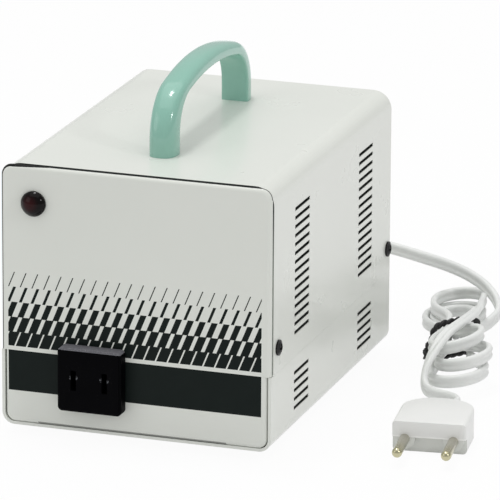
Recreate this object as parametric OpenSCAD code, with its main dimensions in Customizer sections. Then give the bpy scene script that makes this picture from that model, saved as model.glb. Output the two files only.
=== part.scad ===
// Step-down mains transformer in a painted sheet steel case, with carry handle, outlet, lamp and hanked cord.
// Case sizes run from the front plane of the case (y) and from its underside (z).
// in_case() then sets the case on its feet.

/* [Case] */
// Width of the case over its side walls
case_w = 110; // [105:1:130]
// Depth of the case tube
case_d = 151; // [148:1:175]
// Height of the case without feet
case_h = 105; // [102:1:125]
// Thickness of the painted sheet
sheet = 1.2; // [0.8:0.1:1.5]
// Outer radius of the two top bends
top_bend = 7.5; // [6:0.5:10]
// Outer radius of the two bottom bends
bottom_bend = 5; // [4.5:0.5:6]
// Height of the seam between cover and base
seam_z = 30.3; // [28:0.1:33]
// Open line between cover and base
seam_gap = 0.2; // [0.1:0.1:0.5]

/* [Vent slots] */
// Length of one slot
slot_l = 18; // [14:0.5:20]
// Height of one slot
slot_h = 1.5; // [1:0.1:2]
// Slots per column in the cover
cover_slots = 15; // [10:1:16]
// Slots per column in the base
base_slots = 5; // [2:1:5]
// Front ends of the two slot columns, behind the front plane
slot_columns = [28, 108.5];
// Middle of the top slot of the cover, below the top of the case
slot_top_drop = 15.5; // [14:0.5:18]
// Middle of the lowest slot of the cover, above the seam
slot_low_rise = 9.5; // [9:0.1:11]
// Middle of the top slot of the base, below the seam
slot_base_drop = 6.8; // [6:0.1:7.5]

/* [End panels] */
// Gap between a panel and the side walls
panel_gap = 0.5; // [0.3:0.1:0.8]
// Gap between a panel and the top of the tube
panel_top_gap = 0.8; // [0.4:0.1:1.2]
// How far a panel stands out of the tube
panel_proud = 0.5; // [0:0.1:1]
// Depth of a panel's flange
panel_depth = 13; // [12:0.5:15]
// Outer radius of the rolled panel edge
panel_roll = 1.6; // [1.6:0.1:2.4]
// Open line between the front panel's lip and the cover
lip_gap = 1.2; // [0.8:0.1:1.6]
// How far the lip stays inside the outline of the cover
lip_in = 0.15; // [0.1:0.05:0.3]

/* [Handle] */
// Width of the handle
handle_w = 11.2; // [10:0.2:13]
// Middle of the handle behind the middle of the case
handle_shift = 0.6; // [-4:0.2:4]
// Clear span between the legs
handle_span = 80.6; // [76:0.2:84]
// Thickness of a leg at its foot
handle_leg = 9.3; // [8.5:0.1:12]
// Finger height under the arch
handle_clear = 25.4; // [25:0.2:28]
// Height over the crown
handle_rise = 30.8; // [30.6:0.2:36]
// Straight part of the leg, inside
handle_in_straight = 7.9; // [6:0.1:8.5]
// Straight part of the leg, outside
handle_out_straight = 5.2; // [4:0.1:6]
// Radius of the inner corners
handle_in_corner = 14.8; // [12:0.2:15.2]
// Radius of the outer corners
handle_out_corner = 22; // [18:0.5:23]

/* [Lamp] */
// Diameter of the lens
lamp_d = 10; // [8:0.5:13]
// How far the lens dome stands out
lamp_dome = 4; // [3:0.5:5]
// Lamp centre from the left side of the case
lamp_from_left = 13.7; // [12:0.1:20]
// Lamp centre below the top of the case
lamp_from_top = 14.8; // [14:0.1:20]
// Diameter of the lamp body behind the panel
lamp_body_d = 8; // [7:0.5:9]
// Length of the lamp body behind the panel
lamp_body_l = 16; // [14:0.5:20]

/* [Outlet] */
// Width of the outlet face
outlet_w = 26; // [24:0.5:30]
// Height of the outlet face
outlet_h = 25.6; // [24:0.1:30]
// How far the outlet stands out of the panel
outlet_out = 6; // [4:0.5:8]
// Outlet centre left of the case middle
outlet_x = 16.9; // [14:0.1:22]
// Outlet centre above the case underside
outlet_z = 22.5; // [20:0.1:26]
// Length of the outlet body behind the panel
outlet_in = 14; // [12:0.5:18]
// Spacing of the two blade slots
blade_pitch = 12.7; // [12.7:0.1:13]
// Width of a blade slot
blade_slot_w = 2.2; // [1.8:0.1:2.5]
// Height of a blade slot
blade_slot_h = 8; // [7:0.5:9]

/* [Transformer] */
// Width of one outer leg of the core
core_leg_w = 14.3; // [13:0.1:14.6]
// Thickness of the lamination stack
core_stack = 45; // [35:1:50]
// Height of the core above the base sheet
core_lift = 4; // [4:0.5:6]
// Wall of the bobbin
bobbin_wall = 1.2; // [1:0.1:1.4]
// Clearance of the bobbin on the core
bobbin_clear = 0.3; // [0.2:0.05:0.4]
// Build of the primary winding
primary_build = 5.6; // [4:0.1:5.7]
// Build of the secondary winding
secondary_build = 4.6; // [3:0.1:4.7]
// Thickness of the outer wrap
wrap_t = 0.5; // [0.3:0.1:0.6]
// Thickness of a core bracket
bracket_t = 2; // [1.5:0.1:2.5]
// Width of the bracket foot
bracket_foot = 13; // [12:0.5:15]
// Diameter of the core bolts
core_bolt_d = 4; // [3:0.5:4.5]

/* [Rear fittings] */
// Cord bushing right of the case middle
bushing_x = 28; // [24:0.5:30]
// Cord bushing above the case underside
bushing_z = 31; // [27:0.5:36]
// Diameter of the bushing flange
bushing_flange_d = 14; // [13:0.5:17]
// Diameter of the panel hole for the bushing
bushing_hole_d = 10; // [9:0.5:11]
// Length of the bushing sleeve outside
bushing_l = 20; // [20:1:22]
// Fuse holder left of the case middle
fuse_x = 25; // [20:0.5:30]
// Fuse holder above the case underside
fuse_z = 31; // [27:0.5:40]
// Diameter of the fuse holder barrel
fuse_barrel_d = 12; // [12:0.5:14]
// Length of the fuse holder inside the panel
fuse_barrel_l = 32; // [31:0.5:36]
// How far the fuse cap stands out of the panel
fuse_cap_out = 13; // [12:0.5:15]
// Diameter of the fuse cap's knob
fuse_knob_d = 14; // [13.5:0.5:15]
// Diameter of the fuse
fuse_d = 5.2; // [5:0.1:5.4]
// Length of the fuse
fuse_l = 20; // [19:0.5:21]
// Radial running clearance of the fuse cap
fuse_fit = 0.06; // [0.03:0.01:0.1]

/* [Feet and fasteners] */
// Height of the feet
foot_h = 4; // [4:0.5:8]
// Diameter of the feet
foot_d = 14; // [12:0.5:18]
// Feet from the side walls
foot_in_x = 15; // [13:0.5:24]
// Feet from the front and rear planes
foot_in_y = 22; // [20:0.5:24]
// Diameter of the sheet metal screws
screw_d = 3; // [2.5:0.1:3.5]
// Diameter of a pan head
head_d = 6.2; // [6:0.1:7.5]
// Height of a pan head
head_h = 1.6; // [1.4:0.1:2.6]
// Radial clearance of a screw in its hole
screw_clear = 0.1; // [0.05:0.05:0.3]
// Front cover screws behind the front plane
cover_screw_front = 8.1; // [7:0.1:9]
// Rear cover screws before the rear plane
cover_screw_rear = 3.5; // [3.3:0.1:6]
// Cover screws above the case underside
cover_screw_z = 40; // [37:0.5:44]

/* [Cord and plug] */
// Width of the flat twin cord
cord_w = 5.2; // [5:0.1:5.4]
// Thickness of the flat twin cord
cord_t = 2.6; // [2.4:0.1:2.8]
// Turns on the lower level of the hank
hank_turns = 2; // [1:1:2]
// Turns on the upper level of the hank
hank_over = 1; // [1:1:2]
// Runs towards the near folds, lower and upper level
hank_near = [43, 33];
// Runs towards the far folds, lower and upper level
hank_back = [33, 36];
// Radius of the innermost fold
hank_fold = 8.5; // [8.5:0.5:11]
// Step from turn to turn
hank_step = 3.6; // [3.5:0.1:4]
// Step from level to level
hank_rise = 5.8; // [5.8:0.1:6.5]
// How far the runs are drawn in at the waist
hank_waist = 6.1; // [5:0.1:6.2]
// Thickness of the twist tie
tie_t = 0.8; // [0.6:0.1:1.2]
// Width of the twist tie
tie_w = 6; // [4:0.5:8]
// Width of the plug
plug_w = 29; // [28:0.5:34]
// Height of the plug
plug_h = 12.6; // [11:0.1:14]
// Depth of the plug without its pins
plug_l = 31.5; // [29:0.5:40]
// Diameter of a plug pin
pin_d = 4; // [4:0.1:4.8]
// Length of a plug pin outside the plug
pin_l = 19; // [18:0.5:20]
// Spacing of the plug pins
pin_pitch = 19; // [18.6:0.1:19.2]
// Height of the pins above the ground
pin_z = 5.6; // [5:0.1:6.5]

/* [Hidden] */
$fn = 48;
// Places along the depth
frame_y = (case_d + fuse_cap_out - outlet_out) / 2;
rear_face = case_d + panel_proud;
// Inside of the case
in_x = case_w / 2 - sheet;
in_top = case_h - sheet;
core_y = case_d / 2;
handle_y = case_d / 2 + handle_shift;
slot_pitch = (case_h - slot_top_drop - seam_z - slot_low_rise) / (cover_slots - 1);
// Clearance between wound or stacked pieces
stack_gap = 0.1;
// Depth that cutters run past a face
past = 1;
// Panel outline: sides, top and corner radii
panel_x = in_x - panel_gap;
panel_top = in_top - panel_top_gap;
panel_rt = top_bend - sheet - panel_gap;
panel_rb = bottom_bend - sheet;
panel_edge = 3;
// Lip of the front panel, which stands before the cover
lip_x = case_w / 2 - lip_in;
lip_top = case_h - lip_in;
lip_r = top_bend - lip_in;
cover_front = panel_roll - panel_proud + lip_gap;
// Panel screws through the base into the flanges
panel_screw_x = 30;
panel_screw_y = panel_depth - 4;
screw_l = 6;
// Handle screws
handle_screw_d = 4;
handle_screw_l = 12;
handle_leg_y = handle_span / 2 + handle_leg / 2;
handle_edge = 0.8;
handle_bulge = 0.55;
handle_steps = 9;
// Lamp and outlet places
lamp_x = lamp_from_left - case_w / 2;
lamp_z = case_h - lamp_from_top;
lamp_wall = 1;
lamp_rim = 1;
lamp_fit = 0.1;
bulb_d = 4.4;
bulb_l = 11;
clip_t = 1;
outlet_cut_w = outlet_w - 4;
outlet_cut_h = outlet_h - 4.5;
outlet_fit = 0.2;
outlet_corner = 1.8;
outlet_bevel = 0.7;
contact_t = 0.5;
contact_l = 9;
// Core and coil
core_w = 6 * core_leg_w;
core_h = 5 * core_leg_w;
core_z = sheet + core_lift;
core_front = core_y - core_stack / 2;
core_rear = core_y + core_stack / 2;
window_h = 3 * core_leg_w;
window_z = core_z + core_leg_w;
bobbin_x = core_leg_w + bobbin_clear;
bobbin_y = core_stack / 2 + bobbin_clear;
bobbin_h = window_h - 2 * bobbin_clear;
flange_t = bobbin_wall;
flange_x = 2 * core_leg_w - bobbin_clear;
flange_y = core_stack / 2 + core_leg_w - bobbin_clear;
wind_h = bobbin_h - 2 * flange_t - 2 * stack_gap;
primary_in = bobbin_wall + stack_gap;
secondary_in = primary_in + primary_build + stack_gap;
wrap_in = secondary_in + secondary_build + stack_gap;
bracket_below = 1.5;
bracket_h = core_lift + core_leg_w - bracket_below;
core_bolt_x = core_w / 2 - core_leg_w / 2;
core_bolt_rows = [core_z + core_leg_w / 2, core_z + core_h - core_leg_w / 2];
nut_h = 3.2;
bolt_head_h = 2.8;
bolt_head_d = 7;
mount_screw_x = 32;
mount_screw_y = core_stack / 2 + bracket_t + bracket_foot / 2;
// Thermal cut-out, lying on the front of the wrap
cutout_d = 4;
cutout_l = 12;
cutout_z = window_z + window_h / 2;
wrap_front = core_y - bobbin_y - wrap_in - wrap_t;
// Terminal block on the base floor, behind the core
block_l = 34;
block_w = 12;
block_h = 11;
block_x = 15;
block_from_rear = 26;
block_y = case_d - block_from_rear;
block_ways = 4;
block_pitch = block_l / block_ways;
block_screw_d = 3.2;
block_screw_h = 1.6;
// Fuse holder
fuse_wall = 1.2;
fuse_nut_h = 4;
fuse_nut_d = fuse_barrel_d + 6;
fuse_flange_d = fuse_barrel_d + 5;
fuse_flange_t = 3;
fuse_cap_d = fuse_barrel_d - 2 * fuse_wall - 0.4;
fuse_cap_in = 12;
fuse_grip = 6;
fuse_end_l = 5;
fuse_front = rear_face - fuse_cap_in + fuse_grip - fuse_l;
glass_d = fuse_d - 0.6;
// Cord section, an oblong drawn across and up
cord_corners = [[1, 0.45], [0.5, 1], [-0.5, 1], [-1, 0.45], [-1, -0.45], [-0.5, -1], [0.5, -1], [1, -0.45]];
cord_section = [for (s = cord_corners) [s[0] * cord_t / 2, s[1] * cord_w / 2]];
hank_section = [for (s = [[1, 0.55], [0, 1], [-1, 0.55], [-1, -0.55], [0, -1], [1, -0.55]])
    [s[0] * cord_t / 2, s[1] * cord_w / 2]];
lead_d = 1.8;
lead_section = [for (k = [0:7]) lead_d / 2 * [cos(45 * k), sin(45 * k)]];
// Where the hank lies, how each level is turned, and how its runs grow with the turns
hank_place = [83, 71];
hank_turn = [16, 14];
hank_near_grow = [0.9, 0.6];
hank_back_grow = [0.6, 0.9];
tie_gap = 0.4;
hank_base = tie_t + tie_gap + cord_w / 2;
hank_share = 0.15;
hank_climb = 0.1;
hank_rings = 24;
hank_first = -0.05;
hank_last = hank_turns + hank_over + hank_share - 0.0001;
// Where the plug lies, and how it is turned
plug_place = [109, -48.5];
plug_turn = 7.5;
plug_corner = 13.5;
plug_edge = 1.6;
plug_step = 2.2;
plug_step_share = 0.5;
plug_boss_d = 8;
plug_collar_l = 4;
plug_collar_w = 8;
pin_in = 8;
pin_fit = 0.02;
pin_shoulder = 0.8;
// Route of the free cord behind the case, from the bushing to the hank
bushing_tip = [bushing_x, rear_face + 2 + bushing_l - frame_y, bushing_z + foot_h];
cord_bend = [[29.3, 103.2, 34.4], [33.2, 108, 33.4], [39.5, 110.6, 32], [48, 111.2, 30.4], [57.5, 111.6, 28.3],
    [67.2, 112.2, 25.6], [76, 112.6, 22], [83.5, 111.8, 17.7], [89.3, 109.2, 13], [92.1, 104.5, 8.8],
    [92.1, 98.9, 5.4], [90.7, 93.9, 4]];
lead_drop = 12;

// Places and directions

module in_case() {
    translate([0, -frame_y, foot_h]) children();
}

// A drawing in x and z, carried rearward by its depth
module rearward(depth) {
    rotate([90, 0, 0]) mirror([0, 0, 1]) linear_extrude(depth) children();
}

// A solid made on the xy plane, stood up so that its height runs rearward
module stand() {
    rotate([90, 0, 0]) mirror([0, 0, 1]) children();
}

module rod_y(d, l) {
    rotate([-90, 0, 0]) cylinder(d = d, h = l);
}

module rod_x(d, l) {
    rotate([0, 90, 0]) cylinder(d = d, h = l);
}

module each_side() {
    children();
    mirror([1, 0, 0]) children();
}

// The rear end is the front end turned round
module each_end() {
    children();
    translate([0, case_d, 0]) mirror([0, 1, 0]) children();
}

module round_rect(x0, x1, z0, z1, r_top, r_low) {
    translate([x0, z0 + r_low]) square([x1 - x0, z1 - r_top - z0 - r_low]);
    translate([x0 + r_top, z1 - r_top]) square([x1 - x0 - 2 * r_top, r_top]);
    translate([x0 + r_low, z0]) square([x1 - x0 - 2 * r_low, r_low]);
    for (x = [x0 + r_top, x1 - r_top]) translate([x, z1 - r_top]) circle(r_top);
    for (x = [x0 + r_low, x1 - r_low]) translate([x, z0 + r_low]) circle(r_low);
}

// Pan-head screw along +z under its head, with a cross recess
module pan_screw(d, l, hd, hh) {
    translate([0, 0, -l]) cylinder(d = d, h = l);
    difference() {
        union() {
            cylinder(d = hd, h = hh * 0.45);
            intersection() {
                translate([0, 0, hh - hd * 0.85]) sphere(hd * 0.85);
                cylinder(d = hd, h = hh);
            }
        }
        for (a = [0, 90]) rotate([0, 0, a]) translate([-hd * 0.28, -hd * 0.07, hh * 0.5])
            cube([hd * 0.56, hd * 0.14, hh]);
    }
}

// Sweeping a section along points

function unit(v) = v / norm(v);

function spline(p, i, t) =
    let (b = p[i],
        c = p[i + 1],
        a = i == 0 ? 2 * b - c : p[i - 1],
        d = i + 2 < len(p) ? p[i + 2] : 2 * c - b)
    0.5 * (2 * b + (c - a) * t + (2 * a - 5 * b + 4 * c - d) * t * t + (3 * b - a - 3 * c + d) * t * t * t);

function smooth_path(p, n) =
    concat([for (i = [0:len(p) - 2]) for (k = [0:n - 1]) spline(p, i, k / n)], [p[len(p) - 1]]);

function path_length(p) = len(p) < 2 ? 0 : norms(p, len(p) - 2);
function norms(p, i) = i < 0 ? 0 : norm(p[i + 1] - p[i]) + norms(p, i - 1);

// Rings of the section, each square to the path, with the section's second direction nearest to up
function rings(p, section, first, last, up) =
    [for (i = [0:len(p) - 1])
        let (along = i == 0 ? first : i == len(p) - 1 ? last : unit(p[i + 1] - p[i - 1]),
            across = unit(cross(along, up)),
            rise = cross(across, along))
        for (s = section) p[i] + across * s[0] + rise * s[1]];

// Closed skin over m rings of n points
module skin(points, m, n) {
    walls = [for (i = [0:m - 2]) for (k = [0:n - 1])
        let (a = i * n + k, b = i * n + (k + 1) % n)
        each [[a, b, b + n], [a, b + n, a + n]]];
    caps = [for (k = [1:n - 2]) each [[0, k + 1, k], [(m - 1) * n, (m - 1) * n + k, (m - 1) * n + k + 1]]];
    polyhedron(points, concat(walls, caps));
}

module swept(p, section, first, last, up = [0, 0, 1]) {
    skin(rings(p, section, first, last, up), len(p), len(section));
}

// Case

module case_wall(z_low, z_high) {
    difference() {
        round_rect(-case_w / 2, case_w / 2, 0, case_h, top_bend, bottom_bend);
        round_rect(-in_x, in_x, sheet, in_top, top_bend - sheet, bottom_bend - sheet);
        translate([-case_w, z_high]) square([2 * case_w, case_h + past]);
        translate([-case_w, z_low - case_h - past]) square([2 * case_w, case_h + past]);
    }
}

module slot_columns_cut(count, top_z) {
    for (y = slot_columns, i = [0:count - 1])
        translate([-case_w / 2 - past, y, top_z - i * slot_pitch - slot_h / 2])
            cube([case_w + 2 * past, slot_l, slot_h]);
}

module cover_screw_holes(clear) {
    for (y = [cover_screw_front, case_d - cover_screw_rear])
        translate([-case_w / 2 - past, y, cover_screw_z]) rod_x(screw_d + 2 * clear, case_w + 2 * past);
}

module handle_screw_places() {
    for (y = [handle_y - handle_leg_y, handle_y + handle_leg_y]) translate([0, y, in_top]) children();
}

module top_cover() {
    color([0.87, 0.88, 0.85]) in_case() difference() {
        translate([0, cover_front, 0]) rearward(case_d - cover_front) case_wall(seam_z, case_h + past);
        slot_columns_cut(cover_slots, case_h - slot_top_drop);
        cover_screw_holes(screw_clear);
        handle_screw_places() translate([0, 0, -past])
            cylinder(d = handle_screw_d + 2 * screw_clear, h = sheet + 2 * past);
    }
}

module foot_places() {
    for (x = [-1, 1], y = [foot_in_y, case_d - foot_in_y])
        translate([x * (case_w / 2 - foot_in_x), y, 0]) children();
}

module panel_screw_places() {
    for (x = [-panel_screw_x, panel_screw_x], y = [panel_screw_y, case_d - panel_screw_y])
        translate([x, y, 0]) children();
}

module mount_screw_places() {
    for (x = [-mount_screw_x, mount_screw_x], y = [core_y - mount_screw_y, core_y + mount_screw_y])
        translate([x, y, 0]) children();
}

module floor_hole() {
    translate([0, 0, -past])
        cylinder(d = screw_d + 2 * screw_clear, h = sheet + panel_roll + bracket_t + 2 * past);
}

module base_chassis() {
    color([0.85, 0.86, 0.83]) in_case() difference() {
        rearward(case_d) case_wall(-past, seam_z - seam_gap);
        slot_columns_cut(base_slots, seam_z - slot_base_drop);
        foot_places() floor_hole();
        panel_screw_places() floor_hole();
        mount_screw_places() floor_hole();
    }
}

// Sheet section of a panel edge, outside at x = 0: face, rolled corner and flange
module pan_section(depth) {
    translate([-panel_edge, 0]) square([panel_edge - panel_roll, sheet]);
    if (depth > panel_roll) translate([-sheet, panel_roll]) square([sheet, depth - panel_roll]);
    intersection() {
        translate([-panel_roll, panel_roll]) difference() {
            circle(panel_roll);
            circle(panel_roll - sheet);
        }
        translate([-panel_roll, 0]) square(panel_roll);
    }
}

module pan_side(l, depth) {
    stand() linear_extrude(l) pan_section(depth);
}

module pan_corner(r, turn, depth) {
    rotate([0, 0, turn]) rotate_extrude(angle = 90) translate([r, 0]) pan_section(depth);
}

// Shallow pan with a rolled rim, face at the front plane less its stand-out
module end_pan() {
    w = 2 * panel_x;
    h = panel_top - sheet;
    translate([0, -panel_proud, 0]) stand() {
        linear_extrude(sheet) round_rect(-panel_x + panel_edge, panel_x - panel_edge, sheet + panel_edge,
            panel_top - panel_edge, panel_rt - panel_edge, panel_rb - panel_edge);
        translate([panel_x, sheet + panel_rb, 0]) pan_side(h - panel_rb - panel_rt, panel_depth);
        translate([-panel_x, panel_top - panel_rt, 0]) rotate([0, 0, 180]) pan_side(h - panel_rb - panel_rt, panel_depth);
        translate([panel_x - panel_rt, panel_top, 0]) rotate([0, 0, 90]) pan_side(w - 2 * panel_rt, panel_depth);
        translate([-panel_x + panel_rb, sheet, 0]) rotate([0, 0, 270]) pan_side(w - 2 * panel_rb, panel_depth);
        translate([panel_x - panel_rt, panel_top - panel_rt, 0]) pan_corner(panel_rt, 0, panel_depth);
        translate([-panel_x + panel_rt, panel_top - panel_rt, 0]) pan_corner(panel_rt, 90, panel_depth);
        translate([-panel_x + panel_rb, sheet + panel_rb, 0]) pan_corner(panel_rb, 180, panel_depth);
        translate([panel_x - panel_rb, sheet + panel_rb, 0]) pan_corner(panel_rb, 270, panel_depth);
    }
}

// Upper part of the front panel, drawn out to the outline of the cover
module front_lip() {
    side = lip_top - lip_r - seam_z;
    translate([0, -panel_proud, 0]) stand() {
        linear_extrude(sheet) intersection() {
            round_rect(-lip_x + panel_edge, lip_x - panel_edge, sheet + panel_edge, lip_top - panel_edge,
                lip_r - panel_edge, 1);
            translate([-case_w, seam_z]) square([2 * case_w, case_h]);
        }
        translate([lip_x, seam_z, 0]) pan_side(side, panel_roll);
        translate([-lip_x, lip_top - lip_r, 0]) rotate([0, 0, 180]) pan_side(side, panel_roll);
        translate([lip_x - lip_r, lip_top, 0]) rotate([0, 0, 90]) pan_side(2 * lip_x - 2 * lip_r, panel_roll);
        translate([lip_x - lip_r, lip_top - lip_r, 0]) pan_corner(lip_r, 0, panel_roll);
        translate([-lip_x + lip_r, lip_top - lip_r, 0]) pan_corner(lip_r, 90, panel_roll);
    }
}

module front_panel() {
    color([0.83, 0.84, 0.81]) in_case() difference() {
        union() {
            end_pan();
            front_lip();
        }
        cover_screw_holes(screw_clear);
        panel_screw_places() floor_hole();
        translate([lamp_x, -panel_proud - past, lamp_z]) rod_y(lamp_body_d + 2 * lamp_fit, sheet + 2 * past);
        translate([-outlet_x - outlet_cut_w / 2, -panel_proud - past, outlet_z - outlet_cut_h / 2])
            cube([outlet_cut_w, sheet + 2 * past, outlet_cut_h]);
    }
}

module rear_panel() {
    color([0.83, 0.84, 0.81]) in_case() difference() {
        translate([0, case_d, 0]) mirror([0, 1, 0]) end_pan();
        cover_screw_holes(screw_clear);
        panel_screw_places() floor_hole();
        translate([bushing_x, rear_face - sheet - past, bushing_z]) rod_y(bushing_hole_d, sheet + 2 * past);
        translate([-fuse_x, rear_face - sheet - past, fuse_z])
            rod_y(fuse_barrel_d + 2 * screw_clear, sheet + 2 * past);
    }
}

// Handle

// Radius of the flat top arc that runs on from the corner arcs
function crown_radius(half, straight, corner, rise) =
    ((half - corner) ^ 2 + (rise - straight) ^ 2 - corner ^ 2) / (2 * (rise - straight - corner));

// Points over a three-arc arch in y and z, from the rear foot to the front foot
function arch_points(half, straight, corner, rise, n) =
    let (crown = crown_radius(half, straight, corner, rise),
        turn = atan2(straight - rise + crown, half - corner),
        leg = [for (k = [0:n]) [half - corner, straight] + corner * [cos(turn * k / n), sin(turn * k / n)]],
        top = [for (k = [1:2 * n - 1]) let (a = turn + (90 - turn) * k / n)
            [crown * cos(a), rise - crown + crown * sin(a)]])
    concat([[half, 0]], leg, top, [for (k = [n:-1:0]) [-leg[k][0], leg[k][1]]], [[-half, 0]]);

// Handle section by its depth from the inside and its place across: flat inside, full round outside
function handle_section(depth) =
    let (r = handle_w / 2)
    concat([[0, r - handle_edge], [0, handle_edge - r]],
        [for (a = [0:15:180])
            [handle_edge + (depth - handle_edge) * pow(sin(a), handle_bulge),
                -r * sign(cos(a)) * pow(abs(cos(a)), handle_bulge)]]);

module carry_handle() {
    inner = arch_points(handle_span / 2, handle_in_straight, handle_in_corner, handle_clear, handle_steps);
    outer = arch_points(handle_span / 2 + handle_leg, handle_out_straight, handle_out_corner, handle_rise,
        handle_steps);
    points = [for (i = [0:len(inner) - 1])
        let (d = outer[i] - inner[i])
        for (s = handle_section(norm(d))) let (q = inner[i] + unit(d) * s[0]) [s[1], q[0], q[1]]];
    color([0.6, 0.76, 0.7]) in_case() translate([0, handle_y, case_h]) difference() {
        skin(points, len(inner), len(handle_section(1)));
        for (y = [-handle_leg_y, handle_leg_y]) translate([0, y, -past])
            cylinder(d = handle_screw_d + 2 * screw_clear, h = handle_screw_l + past);
    }
}

module handle_screws() {
    color([0.7, 0.7, 0.72]) in_case() handle_screw_places() rotate([180, 0, 0])
        pan_screw(handle_screw_d, handle_screw_l, head_d + 1, head_h);
}

module cover_screws() {
    color([0.05, 0.05, 0.05]) in_case() each_side() for (y = [cover_screw_front, case_d - cover_screw_rear])
        translate([case_w / 2, y, cover_screw_z]) rotate([0, 90, 0])
            pan_screw(screw_d, screw_l, head_d, head_h);
}

module panel_screws() {
    color([0.7, 0.7, 0.72]) in_case() panel_screw_places() rotate([180, 0, 0])
        pan_screw(screw_d, screw_l, head_d, head_h);
}

module rubber_feet() {
    color([0.12, 0.12, 0.12]) in_case() foot_places() translate([0, 0, -foot_h]) difference() {
        rotate_extrude()
            polygon([[0, 0], [foot_d / 2 - 1, 0], [foot_d / 2, 1], [foot_d / 2, foot_h], [0, foot_h]]);
        translate([0, 0, -past]) cylinder(d = head_d + 1, h = foot_h - 1 + past);
        cylinder(d = screw_d + 2 * screw_clear, h = foot_h + past);
    }
}

module foot_screws() {
    color([0.7, 0.7, 0.72]) in_case() foot_places() translate([0, 0, -1]) rotate([180, 0, 0])
        pan_screw(screw_d, screw_l, head_d, head_h);
}

// Lamp

module lamp_place() {
    in_case() translate([lamp_x, -panel_proud, lamp_z]) children();
}

module lamp_lens() {
    dome = (lamp_d ^ 2 / 4 + (lamp_dome - lamp_rim) ^ 2) / (2 * (lamp_dome - lamp_rim));
    color([0.35, 0.04, 0.05]) lamp_place() rotate([90, 0, 0]) {
        cylinder(d = lamp_d, h = lamp_rim);
        intersection() {
            translate([0, 0, lamp_dome - dome]) sphere(dome);
            cylinder(d = lamp_d, h = lamp_dome);
        }
    }
}

module lamp_body() {
    color([0.15, 0.15, 0.15]) lamp_place() difference() {
        rod_y(lamp_body_d, lamp_body_l);
        rod_y(lamp_body_d - 2 * lamp_wall, lamp_body_l - lamp_wall);
        translate([0, lamp_body_l - lamp_wall - past, 0]) rod_y(lead_d + 2 * lamp_fit, lamp_wall + 2 * past);
    }
}

module lamp_clip() {
    color([0.75, 0.75, 0.77]) lamp_place() translate([0, sheet, 0]) difference() {
        rod_y(lamp_body_d + 5, clip_t);
        translate([0, -past, 0]) rod_y(lamp_body_d + 2 * lamp_fit, clip_t + 2 * past);
    }
}

module neon_bulb() {
    color([0.9, 0.6, 0.4]) lamp_place() translate([0, lamp_body_l - lamp_wall - bulb_l, 0]) {
        translate([0, bulb_d / 2, 0]) rod_y(bulb_d, bulb_l - bulb_d / 2);
        translate([0, bulb_d / 2, 0]) sphere(d = bulb_d);
    }
}

// Outlet

module outlet_place() {
    in_case() translate([-outlet_x, -panel_proud, outlet_z]) children();
}

module blade_places() {
    for (x = [-blade_pitch / 2, blade_pitch / 2]) translate([x, 0, 0]) children();
}

module outlet_outline(shrink) {
    round_rect(-outlet_w / 2 + shrink, outlet_w / 2 - shrink, -outlet_h / 2 + shrink, outlet_h / 2 - shrink,
        outlet_corner, outlet_corner);
}

module outlet_body() {
    color([0.04, 0.04, 0.05]) outlet_place() difference() {
        union() {
            translate([0, -outlet_out + outlet_bevel, 0])
                rearward(outlet_out - outlet_bevel) outlet_outline(0);
            translate([0, -outlet_out, 0]) rearward(outlet_bevel) outlet_outline(outlet_bevel);
            translate([-outlet_cut_w / 2 + outlet_fit, 0, -outlet_cut_h / 2 + outlet_fit])
                cube([outlet_cut_w - 2 * outlet_fit, outlet_in, outlet_cut_h - 2 * outlet_fit]);
        }
        blade_places() {
            translate([-blade_slot_w / 2, -outlet_out - past, -blade_slot_h / 2])
                cube([blade_slot_w, outlet_out + outlet_in + 2 * past, blade_slot_h]);
            translate([-blade_slot_w / 2 - contact_t - stack_gap, outlet_in - contact_l, -blade_slot_h / 2])
                cube([blade_slot_w + 2 * contact_t + 2 * stack_gap, contact_l + past, blade_slot_h]);
        }
    }
}

module outlet_clip() {
    color([0.75, 0.75, 0.77]) outlet_place() translate([0, sheet, 0]) difference() {
        translate([-outlet_w / 2, 0, -outlet_cut_h / 2 - 2]) cube([outlet_w, clip_t, outlet_cut_h + 4]);
        translate([-outlet_cut_w / 2, -past, -outlet_cut_h / 2])
            cube([outlet_cut_w, clip_t + 2 * past, outlet_cut_h]);
    }
}

// Two leaves joined by a bridge behind each slot
module outlet_contacts() {
    color([0.8, 0.65, 0.3]) outlet_place() blade_places() translate([0, outlet_in - contact_l, 0]) {
        for (s = [-blade_slot_w / 2 - contact_t, blade_slot_w / 2])
            translate([s, 0, -blade_slot_h / 2 + stack_gap])
                cube([contact_t, contact_l, blade_slot_h - 2 * stack_gap]);
        translate([-blade_slot_w / 2 - contact_t, contact_l - contact_t, -blade_slot_h / 2 + stack_gap])
            cube([blade_slot_w + 2 * contact_t, contact_t, blade_slot_h - 2 * stack_gap]);
    }
}

// Transformer

module core_laminations() {
    color([0.45, 0.45, 0.47]) in_case() difference() {
        translate([-core_w / 2, core_front, core_z]) cube([core_w, core_stack, core_h]);
        for (x = [-2 * core_leg_w, core_leg_w]) translate([x, core_front - past, window_z])
            cube([core_leg_w, core_stack + 2 * past, window_h]);
        core_bolt_holes(screw_clear);
    }
}

module core_bolt_holes(clear) {
    for (x = [-core_bolt_x, core_bolt_x], z = core_bolt_rows) translate([x, core_front - bracket_t - past, z])
        rod_y(core_bolt_d + 2 * clear, core_stack + 2 * bracket_t + 2 * past);
}

// Square sleeve round the middle leg, grown by its inner and outer build, with round outer corners
module coil_sleeve(inner, outer, h) {
    linear_extrude(h) difference() {
        round_rect(-bobbin_x - outer, bobbin_x + outer, -bobbin_y - outer, bobbin_y + outer, outer, outer);
        translate([-bobbin_x - inner, -bobbin_y - inner])
            square([2 * (bobbin_x + inner), 2 * (bobbin_y + inner)]);
    }
}

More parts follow.
